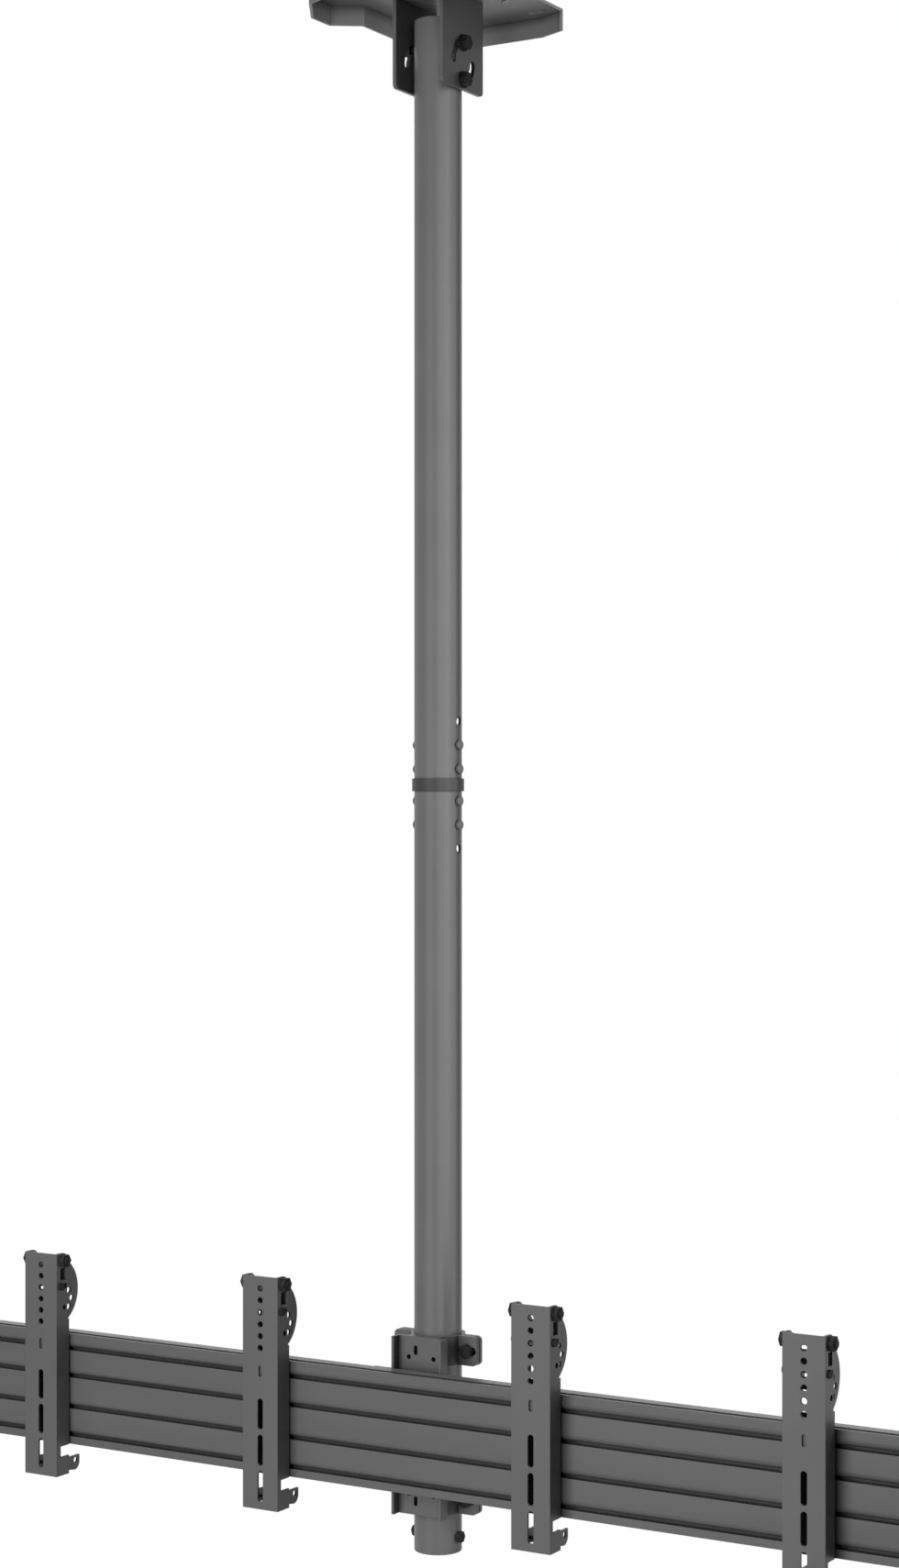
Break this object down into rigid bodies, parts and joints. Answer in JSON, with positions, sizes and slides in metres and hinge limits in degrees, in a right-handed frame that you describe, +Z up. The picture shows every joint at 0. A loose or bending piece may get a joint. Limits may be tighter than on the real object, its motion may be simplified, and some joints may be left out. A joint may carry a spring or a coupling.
{
  "type": "dual-screen ceiling mount",
  "caption": "Ceiling mount with a tilting plate, a long two-part pole, a clamped carriage and a wide grooved rail that carries sliding, tilting screen arms.",
  "frame": {"origin": "centre of the ceiling plate's upper face, on the pole's axis", "axes": "+Z up, X along the rail, -Y towards the screens"},
  "size_m": [1.806, 0.304, 1.952],
  "materials": {
    "coated_steel": "dark grey powder coat, satin",
    "rail_aluminium": "dark grey powder coat on an aluminium extrusion, satin",
    "dark_fasteners": "black zinc, semi-gloss",
    "cap_plastic": "dark grey moulded plastic, fine grain"
  },
  "bodies": {
    "ceiling": {"ceiling_plate": "coated_steel", "tilt_clevis": "coated_steel"},
    "pole": {"upper_pole": "coated_steel", "lower_pole": "coated_steel", "pole_coupler": "coated_steel", "coupler_bolts": "dark_fasteners", "coupler_nuts": "dark_fasteners", "tilt_bolts": "dark_fasteners", "tilt_nuts": "dark_fasteners", "tilt_washers": "dark_fasteners", "pole_end_cap": "cap_plastic", "safety_bolt": "dark_fasteners", "safety_nut": "dark_fasteners"},
    "carriage": {"rail": "rail_aluminium", "rail_cap_left": "cap_plastic", "rail_cap_right": "cap_plastic", "rail_carrier": "coated_steel", "rail_bolts": "dark_fasteners", "rail_nuts": "dark_fasteners", "upper_clamp_front": "coated_steel", "upper_clamp_rear": "coated_steel", "lower_clamp_front": "coated_steel", "lower_clamp_rear": "coated_steel", "clamp_bolts": "dark_fasteners", "clamp_nuts": "dark_fasteners"},
    "bracket_1": {"hook_bracket_1": "coated_steel", "lock_screws_1": "dark_fasteners", "latch_pin_1": "dark_fasteners"},
    "arm_1": {"arm_1": "coated_steel", "pivot_bolt_1": "dark_fasteners", "pivot_nut_1": "dark_fasteners"},
    "latch_1": {"latch_1": "coated_steel"},
    "bracket_2": {"hook_bracket_2": "coated_steel", "lock_screws_2": "dark_fasteners", "latch_pin_2": "dark_fasteners"},
    "arm_2": {"arm_2": "coated_steel", "pivot_bolt_2": "dark_fasteners", "pivot_nut_2": "dark_fasteners"},
    "latch_2": {"latch_2": "coated_steel"},
    "bracket_3": {"hook_bracket_3": "coated_steel", "lock_screws_3": "dark_fasteners", "latch_pin_3": "dark_fasteners"},
    "arm_3": {"arm_3": "coated_steel", "pivot_bolt_3": "dark_fasteners", "pivot_nut_3": "dark_fasteners"},
    "latch_3": {"latch_3": "coated_steel"},
    "bracket_4": {"hook_bracket_4": "coated_steel", "lock_screws_4": "dark_fasteners", "latch_pin_4": "dark_fasteners"},
    "arm_4": {"arm_4": "coated_steel", "pivot_bolt_4": "dark_fasteners", "pivot_nut_4": "dark_fasteners"},
    "latch_4": {"latch_4": "coated_steel"}
  },
  "joints": [
    {"name": "pole_tilt", "type": "hinge", "parent": "ceiling", "child": "pole", "pos_m": [0, 0, -0.088], "axis": [1, 0, 0], "range_deg": [0, 90]},
    {"name": "carriage_height", "type": "slide", "parent": "pole", "child": "carriage", "axis": [0, 0, 1], "range_m": [-0.022, 0.6]},
    {"name": "arm_1_slide", "type": "slide", "parent": "carriage", "child": "bracket_1", "axis": [1, 0, 0], "range_m": [-0.25, 0.25]},
    {"name": "arm_1_tilt", "type": "hinge", "parent": "bracket_1", "child": "arm_1", "pos_m": [-0.547, -0.097, -1.62], "axis": [-1, 0, 0], "range_deg": [0, 15]},
    {"name": "latch_1_swing", "type": "hinge", "parent": "bracket_1", "child": "latch_1", "pos_m": [-0.547, -0.097, -1.8905], "axis": [1, 0, 0], "range_deg": [0, 25]},
    {"name": "arm_2_slide", "type": "slide", "parent": "carriage", "child": "bracket_2", "axis": [1, 0, 0], "range_m": [-0.25, 0.25]},
    {"name": "arm_2_tilt", "type": "hinge", "parent": "bracket_2", "child": "arm_2", "pos_m": [-0.195, -0.097, -1.62], "axis": [-1, 0, 0], "range_deg": [0, 15]},
    {"name": "latch_2_swing", "type": "hinge", "parent": "bracket_2", "child": "latch_2", "pos_m": [-0.195, -0.097, -1.8905], "axis": [1, 0, 0], "range_deg": [0, 25]},
    {"name": "arm_3_slide", "type": "slide", "parent": "carriage", "child": "bracket_3", "axis": [1, 0, 0], "range_m": [-0.25, 0.25]},
    {"name": "arm_3_tilt", "type": "hinge", "parent": "bracket_3", "child": "arm_3", "pos_m": [0.195, -0.097, -1.62], "axis": [-1, 0, 0], "range_deg": [0, 15]},
    {"name": "latch_3_swing", "type": "hinge", "parent": "bracket_3", "child": "latch_3", "pos_m": [0.195, -0.097, -1.8905], "axis": [1, 0, 0], "range_deg": [0, 25]},
    {"name": "arm_4_slide", "type": "slide", "parent": "carriage", "child": "bracket_4", "axis": [1, 0, 0], "range_m": [-0.25, 0.25]},
    {"name": "arm_4_tilt", "type": "hinge", "parent": "bracket_4", "child": "arm_4", "pos_m": [0.547, -0.097, -1.62], "axis": [-1, 0, 0], "range_deg": [0, 15]},
    {"name": "latch_4_swing", "type": "hinge", "parent": "bracket_4", "child": "latch_4", "pos_m": [0.547, -0.097, -1.8905], "axis": [1, 0, 0], "range_deg": [0, 25]}
  ]
}
